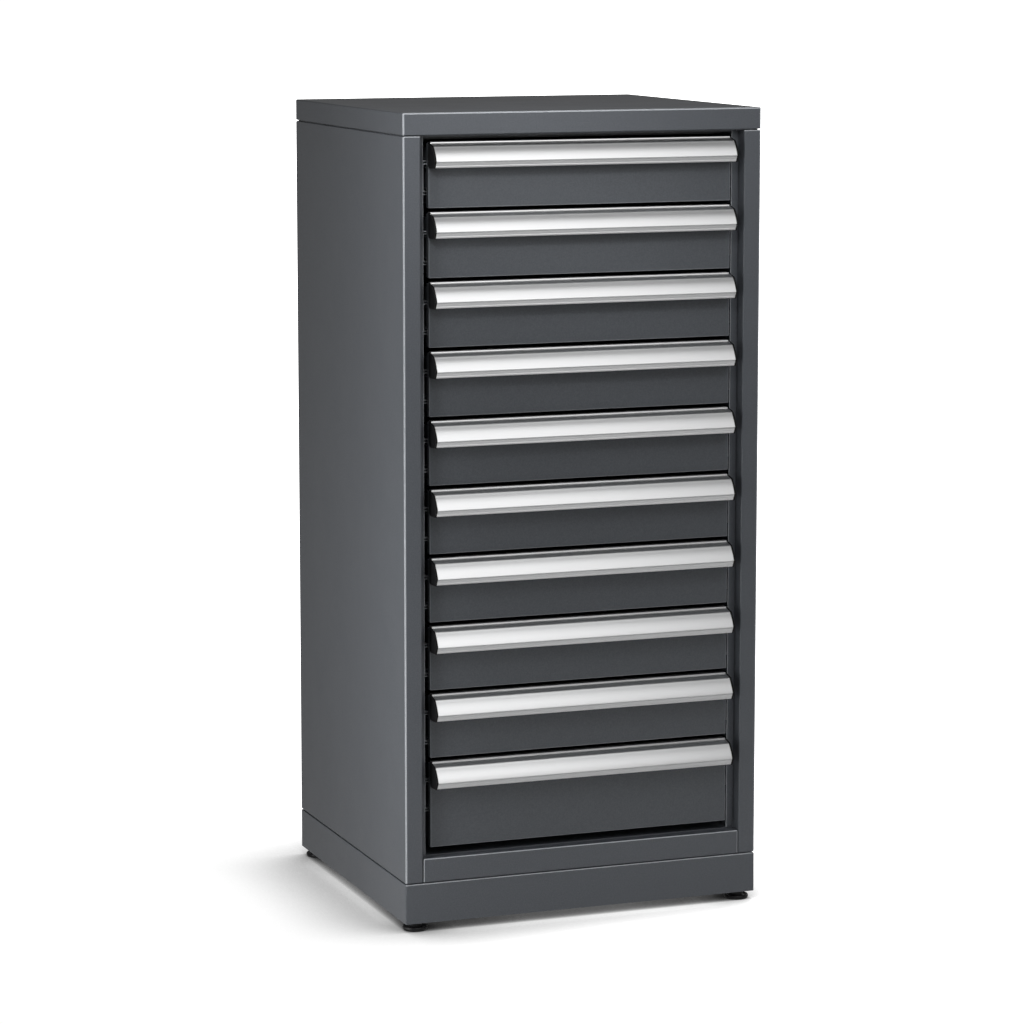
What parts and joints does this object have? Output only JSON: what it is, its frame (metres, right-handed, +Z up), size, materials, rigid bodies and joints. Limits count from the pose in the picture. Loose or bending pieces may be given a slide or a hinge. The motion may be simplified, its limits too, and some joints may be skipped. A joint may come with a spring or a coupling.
{
  "type": "drawer chest",
  "caption": "Free-standing steel workshop drawer chest with full-width aluminium handles, recessed fronts, plinth and levelling feet.",
  "frame": {"origin": "on the floor, under the middle of the whole object", "axes": "+X to the right seen from the front, +Y to the back, +Z up; drawers open along -Y"},
  "size_m": [0.5, 0.472, 1.073],
  "materials": {
    "housing_paint": "satin fine-textured powder coat",
    "drawer_paint": "satin fine-textured powder coat",
    "handle_aluminium": "satin anodised extrusion",
    "end_cap_plastic": "moulded, fine grain",
    "slide_zinc": "bright zinc plate",
    "foot_plastic": "moulded nylon",
    "fastener_zinc": "zinc plate"
  },
  "bodies": {
    "housing": {"top_cap": "housing_paint", "left_side_panel": "housing_paint", "right_side_panel": "housing_paint", "back_panel": "housing_paint", "bottom_panel": "housing_paint", "lower_front_rail": "housing_paint", "upper_front_rail": "housing_paint", "front_left_upright": "housing_paint", "front_right_upright": "housing_paint", "rear_left_upright": "housing_paint", "rear_right_upright": "housing_paint", "slide_rails": "slide_zinc", "plinth": "housing_paint", "foot_sockets": "fastener_zinc", "housing_bolts": "fastener_zinc"},
    "drawer_01": {"drawer_01_tray": "drawer_paint", "drawer_01_handle": "handle_aluminium", "drawer_01_handle_end_caps": "end_cap_plastic"},
    "drawer_01_carriages": {"drawer_01_slide_carriages": "slide_zinc"},
    "drawer_02": {"drawer_02_tray": "drawer_paint", "drawer_02_handle": "handle_aluminium", "drawer_02_handle_end_caps": "end_cap_plastic"},
    "drawer_02_carriages": {"drawer_02_slide_carriages": "slide_zinc"},
    "drawer_03": {"drawer_03_tray": "drawer_paint", "drawer_03_handle": "handle_aluminium", "drawer_03_handle_end_caps": "end_cap_plastic"},
    "drawer_03_carriages": {"drawer_03_slide_carriages": "slide_zinc"},
    "drawer_04": {"drawer_04_tray": "drawer_paint", "drawer_04_handle": "handle_aluminium", "drawer_04_handle_end_caps": "end_cap_plastic"},
    "drawer_04_carriages": {"drawer_04_slide_carriages": "slide_zinc"},
    "drawer_05": {"drawer_05_tray": "drawer_paint", "drawer_05_handle": "handle_aluminium", "drawer_05_handle_end_caps": "end_cap_plastic"},
    "drawer_05_carriages": {"drawer_05_slide_carriages": "slide_zinc"},
    "drawer_06": {"drawer_06_tray": "drawer_paint", "drawer_06_handle": "handle_aluminium", "drawer_06_handle_end_caps": "end_cap_plastic"},
    "drawer_06_carriages": {"drawer_06_slide_carriages": "slide_zinc"},
    "drawer_07": {"drawer_07_tray": "drawer_paint", "drawer_07_handle": "handle_aluminium", "drawer_07_handle_end_caps": "end_cap_plastic"},
    "drawer_07_carriages": {"drawer_07_slide_carriages": "slide_zinc"},
    "drawer_08": {"drawer_08_tray": "drawer_paint", "drawer_08_handle": "handle_aluminium", "drawer_08_handle_end_caps": "end_cap_plastic"},
    "drawer_08_carriages": {"drawer_08_slide_carriages": "slide_zinc"},
    "drawer_09": {"drawer_09_tray": "drawer_paint", "drawer_09_handle": "handle_aluminium", "drawer_09_handle_end_caps": "end_cap_plastic"},
    "drawer_09_carriages": {"drawer_09_slide_carriages": "slide_zinc"},
    "drawer_10": {"drawer_10_tray": "drawer_paint", "drawer_10_handle": "handle_aluminium", "drawer_10_handle_end_caps": "end_cap_plastic"},
    "drawer_10_carriages": {"drawer_10_slide_carriages": "slide_zinc"},
    "front_left_foot": {"front_left_levelling_foot": "foot_plastic"},
    "front_right_foot": {"front_right_levelling_foot": "foot_plastic"},
    "rear_left_foot": {"rear_left_levelling_foot": "foot_plastic"},
    "rear_right_foot": {"rear_right_levelling_foot": "foot_plastic"}
  },
  "joints": [
    {"name": "drawer_01_slide", "type": "slide", "parent": "housing", "child": "drawer_01", "axis": [0, -1, 0], "range_m": [0, 0.4]},
    {"name": "drawer_01_carriage_slide", "type": "slide", "parent": "housing", "child": "drawer_01_carriages", "axis": [0, -1, 0], "range_m": [0, 0.2]},
    {"name": "drawer_02_slide", "type": "slide", "parent": "housing", "child": "drawer_02", "axis": [0, -1, 0], "range_m": [0, 0.4]},
    {"name": "drawer_02_carriage_slide", "type": "slide", "parent": "housing", "child": "drawer_02_carriages", "axis": [0, -1, 0], "range_m": [0, 0.2]},
    {"name": "drawer_03_slide", "type": "slide", "parent": "housing", "child": "drawer_03", "axis": [0, -1, 0], "range_m": [0, 0.4]},
    {"name": "drawer_03_carriage_slide", "type": "slide", "parent": "housing", "child": "drawer_03_carriages", "axis": [0, -1, 0], "range_m": [0, 0.2]},
    {"name": "drawer_04_slide", "type": "slide", "parent": "housing", "child": "drawer_04", "axis": [0, -1, 0], "range_m": [0, 0.4]},
    {"name": "drawer_04_carriage_slide", "type": "slide", "parent": "housing", "child": "drawer_04_carriages", "axis": [0, -1, 0], "range_m": [0, 0.2]},
    {"name": "drawer_05_slide", "type": "slide", "parent": "housing", "child": "drawer_05", "axis": [0, -1, 0], "range_m": [0, 0.4]},
    {"name": "drawer_05_carriage_slide", "type": "slide", "parent": "housing", "child": "drawer_05_carriages", "axis": [0, -1, 0], "range_m": [0, 0.2]},
    {"name": "drawer_06_slide", "type": "slide", "parent": "housing", "child": "drawer_06", "axis": [0, -1, 0], "range_m": [0, 0.4]},
    {"name": "drawer_06_carriage_slide", "type": "slide", "parent": "housing", "child": "drawer_06_carriages", "axis": [0, -1, 0], "range_m": [0, 0.2]},
    {"name": "drawer_07_slide", "type": "slide", "parent": "housing", "child": "drawer_07", "axis": [0, -1, 0], "range_m": [0, 0.4]},
    {"name": "drawer_07_carriage_slide", "type": "slide", "parent": "housing", "child": "drawer_07_carriages", "axis": [0, -1, 0], "range_m": [0, 0.2]},
    {"name": "drawer_08_slide", "type": "slide", "parent": "housing", "child": "drawer_08", "axis": [0, -1, 0], "range_m": [0, 0.4]},
    {"name": "drawer_08_carriage_slide", "type": "slide", "parent": "housing", "child": "drawer_08_carriages", "axis": [0, -1, 0], "range_m": [0, 0.2]},
    {"name": "drawer_09_slide", "type": "slide", "parent": "housing", "child": "drawer_09", "axis": [0, -1, 0], "range_m": [0, 0.4]},
    {"name": "drawer_09_carriage_slide", "type": "slide", "parent": "housing", "child": "drawer_09_carriages", "axis": [0, -1, 0], "range_m": [0, 0.2]},
    {"name": "drawer_10_slide", "type": "slide", "parent": "housing", "child": "drawer_10", "axis": [0, -1, 0], "range_m": [0, 0.4]},
    {"name": "drawer_10_carriage_slide", "type": "slide", "parent": "housing", "child": "drawer_10_carriages", "axis": [0, -1, 0], "range_m": [0, 0.2]},
    {"name": "front_left_foot_screw", "type": "slide", "parent": "housing", "child": "front_left_foot", "axis": [0, 0, -1], "range_m": [0, 0.02]},
    {"name": "front_right_foot_screw", "type": "slide", "parent": "housing", "child": "front_right_foot", "axis": [0, 0, -1], "range_m": [0, 0.02]},
    {"name": "rear_left_foot_screw", "type": "slide", "parent": "housing", "child": "rear_left_foot", "axis": [0, 0, -1], "range_m": [0, 0.02]},
    {"name": "rear_right_foot_screw", "type": "slide", "parent": "housing", "child": "rear_right_foot", "axis": [0, 0, -1], "range_m": [0, 0.02]}
  ],
  "couplings": [
    {"joint": "drawer_01_carriage_slide", "follows": "drawer_01_slide", "ratio": 0.5},
    {"joint": "drawer_02_carriage_slide", "follows": "drawer_02_slide", "ratio": 0.5},
    {"joint": "drawer_03_carriage_slide", "follows": "drawer_03_slide", "ratio": 0.5},
    {"joint": "drawer_04_carriage_slide", "follows": "drawer_04_slide", "ratio": 0.5},
    {"joint": "drawer_05_carriage_slide", "follows": "drawer_05_slide", "ratio": 0.5},
    {"joint": "drawer_06_carriage_slide", "follows": "drawer_06_slide", "ratio": 0.5},
    {"joint": "drawer_07_carriage_slide", "follows": "drawer_07_slide", "ratio": 0.5},
    {"joint": "drawer_08_carriage_slide", "follows": "drawer_08_slide", "ratio": 0.5},
    {"joint": "drawer_09_carriage_slide", "follows": "drawer_09_slide", "ratio": 0.5},
    {"joint": "drawer_10_carriage_slide", "follows": "drawer_10_slide", "ratio": 0.5}
  ]
}
